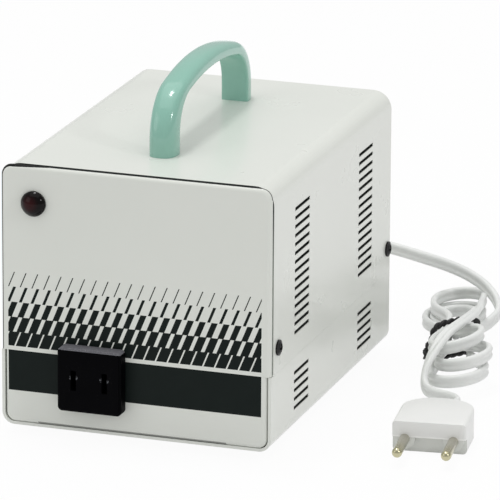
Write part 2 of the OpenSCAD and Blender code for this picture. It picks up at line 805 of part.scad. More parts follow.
// Like the sleeve, with round inner corners too
module coil_layer(inner, outer) {
    in_case() translate([0, core_y, window_z + bobbin_clear + flange_t + stack_gap])
        linear_extrude(wind_h) difference() {
            round_rect(-bobbin_x - outer, bobbin_x + outer, -bobbin_y - outer, bobbin_y + outer, outer, outer);
            round_rect(-bobbin_x - inner, bobbin_x + inner, -bobbin_y - inner, bobbin_y + inner, inner, inner);
        }
}

module bobbin() {
    color([0.85, 0.82, 0.7]) in_case() translate([0, core_y, window_z + bobbin_clear]) {
        coil_sleeve(0, bobbin_wall, bobbin_h);
        for (z = [0, bobbin_h - flange_t]) translate([0, 0, z]) linear_extrude(flange_t) difference() {
            square([2 * flange_x, 2 * flange_y], center = true);
            square([2 * bobbin_x, 2 * bobbin_y], center = true);
        }
    }
}

module primary_winding() {
    color([0.7, 0.35, 0.15]) coil_layer(primary_in, primary_in + primary_build);
}

module secondary_winding() {
    color([0.75, 0.42, 0.2]) coil_layer(secondary_in, secondary_in + secondary_build);
}

module winding_wrap() {
    color([0.85, 0.75, 0.3]) coil_layer(wrap_in, wrap_in + wrap_t);
}

// Angle bracket against each face of the core, its foot on the base
module core_brackets() {
    color([0.7, 0.7, 0.72]) in_case() difference() {
        for (s = [0, 1]) translate([0, core_y, 0]) mirror([0, s, 0]) {
            translate([-core_w / 2, -core_stack / 2 - bracket_t, sheet]) cube([core_w, bracket_t, bracket_h]);
            translate([-core_w / 2, -core_stack / 2 - bracket_t - bracket_foot, sheet])
                cube([core_w, bracket_foot, bracket_t]);
        }
        core_bolt_holes(screw_clear);
        mount_screw_places() floor_hole();
    }
}

function bolt_seat(z) = z == core_bolt_rows[0] ? bracket_t : 0;

module core_bolts() {
    color([0.65, 0.65, 0.68]) in_case() for (x = [-core_bolt_x, core_bolt_x], z = core_bolt_rows)
        translate([x, core_front - bolt_seat(z), z]) {
            translate([0, -bolt_head_h, 0]) rod_y(bolt_head_d, bolt_head_h);
            rod_y(core_bolt_d, core_stack + 2 * bolt_seat(z) + nut_h + 1);
        }
}

module core_nuts() {
    color([0.75, 0.75, 0.77]) in_case() for (x = [-core_bolt_x, core_bolt_x], z = core_bolt_rows)
        translate([x, core_rear + bolt_seat(z), z]) difference() {
            rotate([-90, 0, 0]) cylinder(d = 2 * core_bolt_d, h = nut_h, $fn = 6);
            translate([0, -past, 0]) rod_y(core_bolt_d + 2 * stack_gap, nut_h + 2 * past);
        }
}

module mounting_screws() {
    color([0.7, 0.7, 0.72]) in_case() mount_screw_places() rotate([180, 0, 0])
        pan_screw(screw_d, screw_l, head_d, head_h);
}

module thermal_cutout() {
    color([0.85, 0.85, 0.8]) in_case()
        translate([-cutout_l / 2, wrap_front - cutout_d / 2 - stack_gap, cutout_z]) rod_x(cutout_d, cutout_l);
}

module block_way(i) {
    translate([block_x - block_l / 2 + (i + 0.5) * block_pitch, block_y + block_w / 2, sheet]) children();
}

module terminal_block() {
    color([0.9, 0.9, 0.86]) in_case() difference() {
        translate([block_x - block_l / 2, block_y, sheet]) cube([block_l, block_w, block_h]);
        for (i = [0:block_ways - 1]) block_way(i) translate([0, 0, block_h - 4])
            cylinder(d = block_screw_d + 2 * stack_gap, h = 4 + past);
        for (i = [1:block_ways - 1]) block_way(i - 0.5) translate([-0.5, -block_w / 2 - past, 7])
            cube([1, block_w + 2 * past, block_h]);
    }
}

module terminal_screws() {
    color([0.8, 0.68, 0.35]) in_case() for (i = [0:block_ways - 1])
        block_way(i) translate([0, 0, block_h - 4]) difference() {
            cylinder(d = block_screw_d, h = block_screw_h);
            translate([-block_screw_d, -0.3, block_screw_h - 0.6]) cube([2 * block_screw_d, 0.6, 1]);
        }
}

// Fuse holder

module fuse_place() {
    in_case() translate([-fuse_x, rear_face, fuse_z]) children();
}

module fuse_holder_body() {
    color([0.06, 0.06, 0.06]) fuse_place() difference() {
        union() {
            translate([0, -fuse_barrel_l, 0]) rod_y(fuse_barrel_d, fuse_barrel_l);
            rod_y(fuse_flange_d, fuse_flange_t);
        }
        translate([0, -fuse_barrel_l + 2, 0]) rod_y(fuse_cap_d + 2 * fuse_fit, fuse_barrel_l + fuse_flange_t);
    }
}

module fuse_holder_nut() {
    color([0.1, 0.1, 0.1]) fuse_place() translate([0, -sheet - fuse_nut_h, 0]) difference() {
        rotate([-90, 0, 0]) cylinder(d = fuse_nut_d, h = fuse_nut_h, $fn = 6);
        translate([0, -past, 0]) rod_y(fuse_barrel_d + 2 * stack_gap, fuse_nut_h + 2 * past);
    }
}

// Contact cup at the bottom of the barrel, which the fuse end rests against
module fuse_contact() {
    cup = fuse_place_front() - 0.3;
    color([0.8, 0.65, 0.3]) fuse_place() translate([0, -fuse_barrel_l + 2, 0]) rod_y(fuse_cap_d - 0.4, cup);
}

function fuse_place_front() = fuse_front - rear_face + fuse_barrel_l - 2;

module glass_fuse() {
    color([0.8, 0.88, 0.85]) in_case() translate([-fuse_x, fuse_front + fuse_end_l, fuse_z])
        rod_y(glass_d, fuse_l - 2 * fuse_end_l);
}

module fuse_end_caps() {
    color([0.8, 0.8, 0.82]) in_case() for (y = [fuse_front, fuse_front + fuse_l - fuse_end_l])
        translate([-fuse_x, y, fuse_z]) rod_y(fuse_d, fuse_end_l);
}

module fuse_cap() {
    color([0.06, 0.06, 0.06]) fuse_place() difference() {
        union() {
            translate([0, -fuse_cap_in, 0]) rod_y(fuse_cap_d, fuse_cap_in + fuse_flange_t + 1);
            translate([0, fuse_flange_t + 0.3, 0]) rod_y(fuse_knob_d, fuse_cap_out - fuse_flange_t - 0.3);
        }
        translate([0, -fuse_cap_in - past, 0]) rod_y(fuse_d + 2 * fuse_fit, fuse_grip + 0.3 + past);
        for (a = [0:30:330]) rotate([0, a, 0])
            translate([fuse_knob_d / 2 + 0.4, fuse_flange_t, 0]) rod_y(2, fuse_cap_out);
        translate([-fuse_knob_d / 2, fuse_cap_out - 1.5, -0.75]) cube([fuse_knob_d, 1.5 + past, 1.5]);
    }
}

// Cord, hank and plug

module cord_bushing() {
    color([0.9, 0.9, 0.88]) in_case() translate([bushing_x, rear_face, bushing_z]) {
        rod_y(bushing_flange_d, 2);
        translate([0, 2, 0]) rotate([-90, 0, 0])
            cylinder(d1 = bushing_hole_d, d2 = cord_w + 1.8, h = bushing_l);
        translate([0, -sheet, 0]) rod_y(bushing_hole_d - 2 * screw_clear, sheet);
        translate([0, -sheet - 3, 0]) rod_y(bushing_hole_d + 2, 3);
    }
}

// Place on the hank's centre line after s loops: inward on the lower level, then outward on the upper one
function hank_ease(x) = x <= -hank_climb ? 0 : x >= hank_climb ? 1 : (1 - cos(90 * (x / hank_climb + 1))) / 2;

function hank_mix(v, s) = v[0] + (v[1] - v[0]) * hank_ease(s - hank_turns);

function hank_far(a) = [-sin(a), cos(a), 0];
function hank_right(a) = [cos(a), sin(a), 0];

function hank_point(s) =
    let (p = s + hank_share - floor(s + hank_share),
        reach = hank_step * abs(s - hank_turns),
        r = hank_fold + reach,
        to_near = hank_mix(hank_near, s) + hank_mix(hank_near_grow, s) * reach,
        to_far = hank_mix(hank_back, s) + hank_mix(hank_back_grow, s) * reach,
        run = 2 * hank_share,
        right = p < run,
        near = p >= run && p < 0.5,
        left = p >= 0.5 && p < 0.5 + run,
        t = right ? p / run : left ? (p - 0.5) / run : 0,
        a = near ? (p - run) / (0.5 - run) * 180 : (p - 0.5 - run) / (0.5 - run) * 180,
        waist = hank_waist * (1 - cos(360 * t)) / 2,
        q = right ? [(t < 0.5 ? to_far : to_near) * (1 - 2 * t), r - waist]
            : left ? [(t < 0.5 ? to_near : to_far) * (2 * t - 1), waist - r]
            : near ? [-to_near - r * sin(a), r * cos(a)]
            : [to_far + r * sin(a), -r * cos(a)],
        turned = hank_mix(hank_turn, s))
    [hank_place[0], hank_place[1], hank_mix([hank_base, hank_base + hank_rise], s)]
        + q[0] * hank_far(turned) + q[1] * hank_right(turned);

hank_path = [for (i = [0:round((hank_last - hank_first) * hank_rings)])
    hank_point(min(hank_last, hank_first + i / hank_rings))];
hank_start = hank_path[0];
hank_end = hank_path[len(hank_path) - 1];
hank_out = unit(hank_path[1] - hank_path[0]);
hank_in = unit(hank_end - hank_path[len(hank_path) - 3]);

// Least gap between stretches of the hank that lie beside or over each other
function plan(p) = [p[0], p[1]];
function to_segment(p, a, b) =
    let (d = b - a, t = min(1, max(0, ((p - a) * d) / (d * d))))
    norm(p - a - t * d);
hank_least_gap = min([for (i = [0:len(hank_path) - 1]) for (j = [i + 9:1:len(hank_path) - 2])
    max(to_segment(plan(hank_path[i]), plan(hank_path[j]), plan(hank_path[j + 1])) - cord_t,
        min(abs(hank_path[i][2] - hank_path[j][2]), abs(hank_path[i][2] - hank_path[j + 1][2])) - cord_w)]);
echo(hank_least_gap = hank_least_gap, hank_length = path_length(hank_path));

cord_path = smooth_path(concat([bushing_tip, bushing_tip + [0, 3, 0]], cord_bend,
    [hank_start - 4 * hank_out, hank_start]), 3);

module power_cord() {
    color([0.92, 0.92, 0.91]) swept(cord_path, cord_section, [0, 1, 0], hank_out);
}

module cord_hank() {
    color([0.92, 0.92, 0.91]) swept(hank_path, hank_section, hank_out, hank_in);
}

plug_back = [-sin(plug_turn), cos(plug_turn), 0];
tail_end = [plug_place[0], plug_place[1], pin_z] + (plug_l + plug_collar_l) * plug_back;
tail_bend = [[107, 27, 9.8], [107.6, 13, 9.7], [105.4, 1.5, 7.5]];
tail_path = smooth_path(concat([hank_end, hank_end + 5 * hank_in], tail_bend,
    [tail_end + 5 * plug_back, tail_end]), 3);

module cord_tail() {
    color([0.92, 0.92, 0.91]) swept(tail_path, cord_section, hank_in, -plug_back);
}

module twist_tie() {
    room = hank_fold - hank_waist + cord_t / 2 + 2 * tie_gap;
    left = -room - hank_step * (hank_turns - 0.5);
    right = room + hank_step * hank_turns;
    low = tie_t;
    high = hank_base + hank_rise + cord_w / 2 + tie_gap;
    color([0.06, 0.06, 0.06]) translate([hank_place[0], hank_place[1], 0])
        rotate([0, 0, (hank_turn[0] + hank_turn[1]) / 2]) translate([0, -tie_w / 2, 0]) {
            rearward(tie_w) difference() {
                round_rect(left - tie_t, right + tie_t, 0, high + tie_t, 2, 0.6);
                translate([left, low]) square([right - left, high - low]);
            }
            for (x = [left + 1, left + 4]) translate([x, 0, high + tie_t]) cube([2, tie_w, 3]);
        }
}

module plug_place_at() {
    translate([plug_place[0], plug_place[1], 0]) rotate([0, 0, plug_turn]) children();
}

module plug_pin_places() {
    for (x = [-pin_pitch / 2, pin_pitch / 2]) translate([x, 0, pin_z]) children();
}

// Body rounded at the back and along its edges, with a stepped front that leaves a boss round each pin
module plug_body() {
    color([0.93, 0.93, 0.92]) plug_place_at() difference() {
        union() {
            intersection() {
                linear_extrude(plug_h) round_rect(-plug_w / 2, plug_w / 2, 0, plug_l, plug_corner, 1);
                rearward(plug_l) round_rect(-plug_w / 2, plug_w / 2, 0, plug_h, plug_edge, plug_edge);
            }
            translate([-plug_collar_w / 2, plug_l - 1, pin_z - cord_w / 2 - 1.2])
                cube([plug_collar_w, plug_collar_l + 1, cord_w + 2.4]);
        }
        difference() {
            translate([-plug_w, -past, -past]) cube([2 * plug_w, plug_step + past, plug_h * plug_step_share + past]);
            plug_pin_places() translate([0, -past, 0]) rod_y(plug_boss_d, plug_step + 2 * past);
        }
        plug_pin_places() translate([0, -past, 0]) rod_y(pin_d - pin_shoulder + 2 * pin_fit, pin_in + past);
    }
}

module plug_pins() {
    color([0.75, 0.72, 0.62]) plug_place_at() plug_pin_places() {
        translate([0, pin_d / 2 - pin_l, 0]) rod_y(pin_d, pin_l - pin_d / 2);
        rod_y(pin_d - pin_shoulder, pin_in);
        translate([0, pin_d / 2 - pin_l, 0]) sphere(d = pin_d);
    }
}

// Leads inside the case

function in_frame(p) = p + [0, -frame_y, foot_h];

module lead(points, first, last, up) {
    swept(smooth_path([for (p = points) in_frame(p)], 3), lead_section, first, last, up);
}

module supply_leads() {
    color([0.3, 0.3, 0.75]) for (k = [0, 1]) {
        x = bushing_x - 2.5 + 5 * k;
        lead([[x, rear_face - sheet - 3, bushing_z], [x, rear_face - sheet - 6, bushing_z],
            [x - 1, rear_face - lead_drop, 22], [x - 1, block_y + block_w + 4, 6 + sheet],
            [x - 1, block_y + block_w, 6 + sheet]],
            [0, -1, 0], [0, -1, 0], [1, 0, 0]);
    }
}

module output_leads() {
    color([0.75, 0.2, 0.2]) for (k = [0, 1]) {
        x = -outlet_x + (k - 0.5) * blade_pitch;
        y = outlet_in - panel_proud;
        lead([[x, y, outlet_z], [x, y + 4, outlet_z], [x + 2, y + 8, outlet_z + 8],
            [x + 8, wrap_front - 8, cutout_z + 9],
            [x + 8, wrap_front - 4, cutout_z + 9], [x + 8, wrap_front - stack_gap, cutout_z + 9]],
            [0, 1, 0], [0, 1, 0], [1, 0, 0]);
    }
}

module lamp_leads() {
    color([0.2, 0.2, 0.2]) {
        y = lamp_body_l - lamp_wall - panel_proud;
        lead([[lamp_x, y, lamp_z], [lamp_x, y + 5, lamp_z], [lamp_x + 10, y + 10, lamp_z - 14],
            [lamp_x + 29, wrap_front - 6, cutout_z + 14], [lamp_x + 29, wrap_front - 3, cutout_z + 14],
            [lamp_x + 29, wrap_front - stack_gap, cutout_z + 14]],
            [0, 1, 0], [0, 1, 0], [1, 0, 0]);
    }
}

top_cover();
base_chassis();
front_panel();
rear_panel();
carry_handle();
handle_screws();
cover_screws();
panel_screws();
rubber_feet();
foot_screws();
lamp_lens();
lamp_body();
lamp_clip();
neon_bulb();
outlet_body();
outlet_clip();
outlet_contacts();
core_laminations();
bobbin();
primary_winding();
secondary_winding();
winding_wrap();
core_brackets();
core_bolts();
core_nuts();
mounting_screws();
thermal_cutout();
terminal_block();
terminal_screws();
fuse_holder_body();
fuse_holder_nut();
fuse_contact();
glass_fuse();
fuse_end_caps();
fuse_cap();
cord_bushing();
power_cord();
cord_hank();
cord_tail();
twist_tie();
plug_body();
plug_pins();
supply_leads();
output_leads();
lamp_leads();
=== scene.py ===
import math

import bpy
from mathutils import Matrix, Vector


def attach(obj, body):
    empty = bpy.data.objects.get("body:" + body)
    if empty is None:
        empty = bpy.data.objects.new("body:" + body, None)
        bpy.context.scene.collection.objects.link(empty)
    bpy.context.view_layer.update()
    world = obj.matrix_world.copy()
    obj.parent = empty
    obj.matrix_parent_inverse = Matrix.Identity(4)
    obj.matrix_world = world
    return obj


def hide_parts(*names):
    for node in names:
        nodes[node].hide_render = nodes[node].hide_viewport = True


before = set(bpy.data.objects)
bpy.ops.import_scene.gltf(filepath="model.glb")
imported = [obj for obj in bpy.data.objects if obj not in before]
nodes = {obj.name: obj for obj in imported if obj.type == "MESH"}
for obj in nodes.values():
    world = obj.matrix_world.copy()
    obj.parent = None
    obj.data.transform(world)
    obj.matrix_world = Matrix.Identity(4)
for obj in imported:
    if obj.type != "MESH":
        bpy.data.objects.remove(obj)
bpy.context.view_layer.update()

# Studio: a long lens to the right of the front and a little above, as the product was photographed,
# over a pale floor that runs into a white surround. Broad soft lamps stand above and to the sides.

turn, tilt, roll = math.radians(18.63), math.radians(16.72), math.radians(0.32)
eye = Vector((0.7123, -2.0549, 0.7107))
film_wide, focal_px, picture_px, far_limit = 36, 5737, 500, 20
look = Vector((-math.sin(turn) * math.cos(tilt), math.cos(turn) * math.cos(tilt), -math.sin(tilt)))
level = Vector((math.cos(turn), math.sin(turn), 0))
rise = level.cross(look)
right = math.cos(roll) * level + math.sin(roll) * rise
up = -math.sin(roll) * level + math.cos(roll) * rise
camera_data = bpy.data.cameras.new("camera")
camera_data.sensor_width = film_wide
camera_data.lens = focal_px / picture_px * film_wide
camera_data.clip_end = far_limit
camera = bpy.data.objects.new("camera", camera_data)
camera.matrix_world = Matrix((
    (right.x, up.x, -look.x, eye.x),
    (right.y, up.y, -look.y, eye.y),
    (right.z, up.z, -look.z, eye.z),
    (0, 0, 0, 1)))
bpy.context.scene.collection.objects.link(camera)
bpy.context.scene.camera = camera
bpy.context.scene.view_settings.view_transform = "Standard"


class Field:
    """A socket of a node tree. Sums, products and comparisons of fields add Math nodes."""

    def __init__(self, tree, socket=None):
        self.tree = tree
        self.socket = socket

    def node(self, kind, settings=None, inputs=None, out=0):
        """Adds a node with its settings and inputs, and gives one of its outputs."""
        made = self.tree.nodes.new("ShaderNode" + kind)
        for name, value in (settings or {}).items():
            setattr(made, name, value)
        for name, value in (inputs or {}).items():
            if isinstance(value, Field):
                self.tree.links.new(value.socket, made.inputs[name])
            else:
                made.inputs[name].default_value = value
        return Field(self.tree, made.outputs[out])

    def math(self, operation, a, b=0.0):
        return self.node("Math", {"operation": operation}, {0: a, 1: b})

    def __add__(self, other):
        return self.math("ADD", self, other)

    __radd__ = __add__

    def __sub__(self, other):
        return self.math("SUBTRACT", self, other)

    def __rsub__(self, other):
        return self.math("SUBTRACT", other, self)

    def __mul__(self, other):
        return self.math("MULTIPLY", self, other)

    __rmul__ = __mul__

    def __truediv__(self, other):
        return self.math("DIVIDE", self, other)

    def __lt__(self, other):
        return self.math("LESS_THAN", self, other)

    def __gt__(self, other):
        return self.math("GREATER_THAN", self, other)

    def __abs__(self):
        return self.math("ABSOLUTE", self)

    def either(self, other):
        """The larger of two fields."""
        return self.math("MAXIMUM", self, other)

    def held(self, low, high):
        """This field, kept between low and high."""
        return self.math("MINIMUM", self.either(low), high)

    def mixed(self, a, b):
        """Colour a where this field is 0, colour b where it is 1."""
        return self.node("Mix", {"data_type": "RGBA"}, {0: self, 6: a, 7: b}, 2)


def seen_rays(tree, *kinds):
    """1 on rays of these kinds, 0 on all others."""
    seen = Field(tree).node("LightPath", out=kinds[0])
    for kind in kinds[1:]:
        seen = seen.either(Field(tree).node("LightPath", out=kind))
    return seen


surround_lights, surround_shows = 0.5, 1.0
world = bpy.data.worlds.new("surround")
world.use_nodes = True
bpy.context.scene.world = world
surround = world.node_tree.nodes["Background"]
surround.inputs["Color"].default_value = (1, 1, 1, 1)
seen = seen_rays(world.node_tree, "Is Camera Ray", "Is Transmission Ray")
strength = seen * (surround_shows - surround_lights) + surround_lights
world.node_tree.links.new(strength.socket, surround.inputs["Strength"])

floor_wide, floor_drop = 6, 0.0002
paper_grey, paper_glow = 0.86, 0.95
bpy.ops.object.select_all(action="DESELECT")
bpy.ops.mesh.primitive_plane_add(size=floor_wide, location=(0, 0, -floor_drop))
floor = bpy.context.object
floor.name = "studio_floor"
bpy.ops.object.transform_apply(location=True, rotation=True, scale=True)
paper = bpy.data.materials.new("floor_paper")
paper.use_nodes = True
paper_tree = paper.node_tree
paper_tree.nodes.remove(paper_tree.nodes["Principled BSDF"])
seen = seen_rays(paper_tree, "Is Camera Ray", "Is Glossy Ray", "Is Transmission Ray")
matte = seen.node("BsdfDiffuse", None, {"Color": (paper_grey, paper_grey, paper_grey, 1)})
glow = seen.node("Emission", None, {"Color": (1, 1, 1, 1), "Strength": 1.0})
sheet = seen.node("MixShader", None, {0: seen * paper_glow, 1: matte, 2: glow})
paper_tree.links.new(sheet.socket, paper_tree.nodes["Material Output"].inputs["Surface"])
floor.data.materials.append(paper)


def lamp(name, place, aim, width, height, power):
    """A flat lamp of this width and height in metres, turned to its aim, with its power in watts."""
    light = bpy.data.lights.new(name, "AREA")
    light.shape = "RECTANGLE"
    light.size = width
    light.size_y = height
    light.energy = power
    made = bpy.data.objects.new(name, light)
    made.location = place
    made.rotation_euler = (Vector(aim) - Vector(place)).to_track_quat("-Z", "Y").to_euler()
    bpy.context.scene.collection.objects.link(made)


lamp("overhead_softbox", place=(0, 0.1, 1.7), aim=(0, 0, 0), width=2.2, height=2.2, power=10.8)
lamp("top_head", place=(-0.15, 0.05, 1.3), aim=(0, 0, 0.05), width=0.2, height=0.22, power=3.8)
lamp("right_head", place=(1.3, -0.5, 0.8), aim=(0, 0, 0.06), width=0.13, height=0.13, power=2.6)
lamp("left_softbox", place=(-1.0, -1.0, 0.7), aim=(0, 0, 0.06), width=0.8, height=0.8, power=1.9)

# Mains cord: white flat twin flex, two round cores moulded side by side with a groove between them.
# One length runs from the rear bushing to the floor, is folded into a hank of layers, crosses over the folds
# and goes on to the plug.

cord_high, cord_thick = 5.2, 2.6
groove_half, groove_from = 0.93, 0.33
rear_plane, bushing_long, bushing_straight = 72.5, 22, 3
bushing_tip = Vector((28, rear_plane + bushing_long, 35))
cord_bend = [(29.3, 103.2, 34.4), (33.2, 108, 33.4), (39.5, 110.6, 32), (48, 111.2, 30.4), (57.5, 111.6, 28.3),
             (67.2, 112.4, 25.8), (76, 112.8, 22.7), (83.8, 111.2, 19), (89.8, 107.2, 15), (92.9, 101, 11.8),
             (91.8, 94.2, 9.6), (89.2, 87, 8.4)]
# The hank has a lower and an upper level. Pairs hold a value for each.
hank_place, hank_turn = Vector((83, 71, 0)), (16, 14)
hank_lift, hank_lean, hank_base, hank_rise = 1.4, 0.12, 5.4, 5.8
hank_turns, hank_last, hank_share, hank_climb = 2, 2.84, 0.15, 0.1
hank_fold, hank_step = 8.1, 3.0
hank_back, hank_back_grow = (33, 36), (0.6, 0.9)
hank_waist, waist_ends, waist_frees = 7.4, 12, 33
# Each near fold has its reach, radius, lift, shift to the right, and lean.
hank_near = ((41.5, 11, 0, 2.2, 0.04), (38.4, 10.4, 5.4, 4.2, 0.1), (32.6, 10, 5.2, 2.4, 0.16))
near_opens, stack_from, stack_to = 22, -6, 30
# The strip over the hank, along it, across it and up, from the last far fold to the floor before the plug.
strip_over = ((27, 9.9, 12.2), (18, 9.6, 14.6), (8, 9.4, 17), (-2, 9, 18.8), (-11, 8, 20.1), (-19, 6.2, 21),
              (-26, 4, 21.5), (-32.5, 1.4, 21.6), (-38.8, -1.8, 20.7), (-44.6, -5.2, 17.4), (-50.2, -8.2, 12.4),
              (-54.4, -9.2, 8.2), (-58.5, -8.3, 5.6), (-61.8, -5.7, 4.3), (-64, -2.2, 3.6), (-66.2, 1.1, 3.2),
              (-69.6, 3.9, 3), (-75.2, 4.9, 3.2))
strip_lies_by, strip_stands_from, strip_stands_by = 34, 48, 76
hank_entry, tail_straight, tail_aside = 7, 5.5, 1.8
hank_steps, route_steps = 72, 6
plug_place, plug_angle = Vector((109, -48.5, 0)), math.radians(7.5)
plug_back = Vector((-math.sin(plug_angle), math.cos(plug_angle), 0))
plug_side = Vector((math.cos(plug_angle), math.sin(plug_angle), 0))
plug_long, pin_high, collar_long = 31.5, 5.6, 4


def smooth(low, high, value):
    """0 below low, 1 above high, and an even rise between them."""
    t = min(1, max(0, (value - low) / (high - low)))
    return t * t * (3 - 2 * t)


def hank_place_at(ahead, across, high, turned=hank_turn[1]):
    """A place given along the hank, across it and up through it. The hank leans, with its right edge raised."""
    turned = math.radians(turned)
    return Vector((hank_place.x + across * math.cos(turned) - ahead * math.sin(turned),
                   hank_place.y + across * math.sin(turned) + ahead * math.cos(turned),
                   high + hank_lift + hank_lean * across))


def hank_point(loops):
    """Where the cord's middle is after so many loops: inward on the lower level, then outward on the upper one.
    The far folds lie inside each other, the near folds on top of each other, and the tie draws the runs together."""
    late = (loops - hank_turns) / hank_climb
    climbed = 0 if late <= -1 else 1 if late >= 1 else (1 - math.cos(math.pi / 2 * (late + 1))) / 2

    def at_level(pair):
        return pair[0] + (pair[1] - pair[0]) * climbed

    reach = hank_step * abs(loops - hank_turns)
    radius = hank_fold + reach
    near, near_radius, near_lift, near_aside, near_lean = hank_near[math.floor(loops + hank_share)]
    back = at_level(hank_back) + at_level(hank_back_grow) * reach
    share = (loops + hank_share) % 1
    run = 2 * hank_share
    if share < run or 0.5 <= share < 0.5 + run:
        side = 1 if share < run else -1
        along = (share if side > 0 else share - 0.5) / run
        ahead = (back if (along < 0.5) == (side > 0) else near) * (1 - 2 * along) * side
        across = (radius - hank_waist * (1 - smooth(waist_ends, waist_frees, ahead))) * side
        across += (near_radius * side + near_aside - across) * smooth(near - near_opens, near, -ahead)
    elif share < 0.5:
        angle = (share - run) / (0.5 - run) * math.pi
        ahead = -near - near_radius * math.sin(angle)
        across = near_aside + near_radius * math.cos(angle)
    else:
        angle = (share - 0.5 - run) / (0.5 - run) * math.pi
        ahead = back + radius * math.sin(angle)
        across = -radius * math.cos(angle)
    stacked = (near_lift + near_lean * across) * smooth(stack_from, stack_to, -ahead)
    return hank_place_at(ahead, across, hank_base + hank_rise * climbed + stacked, at_level(hank_turn))


def smooth_route(points, steps):
    """A rounded line through the points, with so many steps between each two."""
    route = []
    for i in range(len(points) - 1):
        b, c = points[i], points[i + 1]
        a = points[i - 1] if i else 2 * b - c
        d = points[i + 2] if i + 2 < len(points) else 2 * c - b
        for k in range(steps):
            t = k / steps
            route.append(0.5 * (2 * b + (c - a) * t + (2 * a - 5 * b + 4 * c - d) * t * t
                                + (3 * b - a - 3 * c + d) * t ** 3))
    return route + [points[-1]]


hank_route = [hank_point(min(hank_last, i / hank_steps)) for i in range(round(hank_last * hank_steps) + 1)]
hank_out = (hank_route[1] - hank_route[0]).normalized()
out_route = smooth_route([bushing_tip, bushing_tip + Vector((0, bushing_straight, 0))]
                         + [Vector(p) for p in cord_bend]
                         + [hank_route[0] - hank_entry * hank_out, hank_route[0]], route_steps)
tail_end = plug_place + (plug_long + collar_long) * plug_back + Vector((0, 0, pin_high))
over_route = smooth_route([hank_route[-4], hank_route[-1]] + [hank_place_at(*p) for p in strip_over]
                          + [tail_end + tail_straight * plug_back + tail_aside * plug_side, tail_end],
                          route_steps)[route_steps:]
cord_route = out_route + hank_route[1:] + over_route[1:]
over_from = len(out_route) + len(hank_route) - 1


def swept_piece(name, rings):
    """A closed mesh over rings of points in millimetres, each with the same count, with both ends filled."""
    count = len(rings[0])
    faces = [tuple(reversed(range(count))), tuple(range((len(rings) - 1) * count, len(rings) * count))]
    for i in range(len(rings) - 1):
        for k in range(count):
            a, b = i * count + k, i * count + (k + 1) % count
            faces.append((a, b, b + count, a + count))
    mesh = bpy.data.meshes.new(name)
    mesh.from_pydata([tuple(p / 1000) for ring in rings for p in ring], [], faces)
    made = bpy.data.objects.new(name, mesh)
    bpy.context.scene.collection.objects.link(made)
    bpy.ops.object.select_all(action="DESELECT")
    bpy.context.view_layer.objects.active = made
    made.select_set(True)
    bpy.ops.object.mode_set(mode="EDIT")
    bpy.ops.mesh.select_all(action="SELECT")
    bpy.ops.mesh.normals_make_consistent(inside=False)
    bpy.ops.object.mode_set(mode="OBJECT")
    bpy.ops.object.shade_smooth_by_angle(angle=math.radians(50))
    return made


def twin_section():
    """Points round two lobes and their groove: across, then up, in millimetres."""
    core = cord_thick / 2
    lobe = cord_high / 2 - core
    turns = [math.radians(10 * k) for k in range(-9, 10)]
    side = [(core * math.cos(angle), lobe + core * math.sin(angle)) for angle in turns]
    upper = [p for p in side if p[1] > groove_from]
    right_half = [(x, -z) for x, z in reversed(upper)] + [(groove_half, 0)] + upper
    return right_half + [(-x, z) for x, z in reversed(right_half)][1:-1]


def route_heading(route, i):
    """The direction of a route at one of its points."""
    return (route[min(i + 1, len(route) - 1)] - route[max(i - 1, 0)]).normalized()


cord_section = twin_section()
hank_side = hank_place_at(0, 1, 0) - hank_place_at(0, 0, 0)
cord_rings = []
for i, point in enumerate(cord_route):
    ahead = route_heading(cord_route, i)
    lies = smooth(over_from, over_from + strip_lies_by, i)
    stands = smooth(over_from + strip_stands_from, over_from + strip_stands_by, i)
    broad = (1 - lies + stands) * Vector((0, 0, 1)) + (lies - stands) * hank_side
    across = ahead.cross(broad).normalized()
    upward = across.cross(ahead)
    cord_rings.append([point + across * x + upward * z for x, z in cord_section])
cord = swept_piece("mains_cord", cord_rings)
cord_length = sum((b - a).length for a, b in zip(cord_route, cord_route[1:])) / 1000


def srgb(r, g, b):
    """A screen colour, 0 to 255, as the linear colour that shaders take."""
    return tuple((c / 255 / 12.92) if c <= 10 else ((c / 255 + 0.055) / 1.055) ** 2.4 for c in (r, g, b)) + (1,)


def new_finish(name):
    """A material, its Principled shader, and a field and the object coordinates in millimetres to draw with."""
    made = bpy.data.materials.new(name)
    made.use_nodes = True
    field = Field(made.node_tree)
    metres = field.node("TexCoord", out="Object")
    place = field.node("VectorMath", {"operation": "SCALE"}, {0: metres, "Scale": 1000.0})
    return made, made.node_tree.nodes["Principled BSDF"], field, place


def noise(field, place, scale, detail=3.0, rough=0.55):
    """Cloudy values about 0.5, with so many waves to the millimetre."""
    return field.node("TexNoise", {"noise_dimensions": "3D"},
                      {"Vector": place, "Scale": scale, "Detail": detail, "Roughness": rough})


def bump(field, height, strength, distance):
    return field.node("Bump", None, {"Strength": strength, "Distance": distance, "Height": height})


def feed(shader, **sockets):
    """Sets or links the shader's sockets, with _ for a space in their names."""
    for name, value in sockets.items():
        socket = shader.inputs[name.replace("_", " ")]
        if isinstance(value, Field):
            value.tree.links.new(value.socket, socket)
        else:
            socket.default_value = value


def wear(piece, material):
    """Puts the material on every slot of a piece."""
    if not piece.data.materials:
        piece.data.materials.append(material)
    for i in range(len(piece.data.materials)):
        piece.data.materials[i] = material


flex, shader, field, place = new_finish("white_flex")
feed(shader, Base_Color=noise(field, place, 0.06, 2.0).mixed(srgb(226, 228, 226), srgb(240, 241, 239)),
     Roughness=noise(field, place, 0.4) * 0.12 + 0.36,
     Normal=bump(field, noise(field, place, 2.2, 4.0), 0.12, 0.0002))
wear(cord, flex)
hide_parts("power_cord", "cord_hank", "cord_tail")
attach(cord, "case")
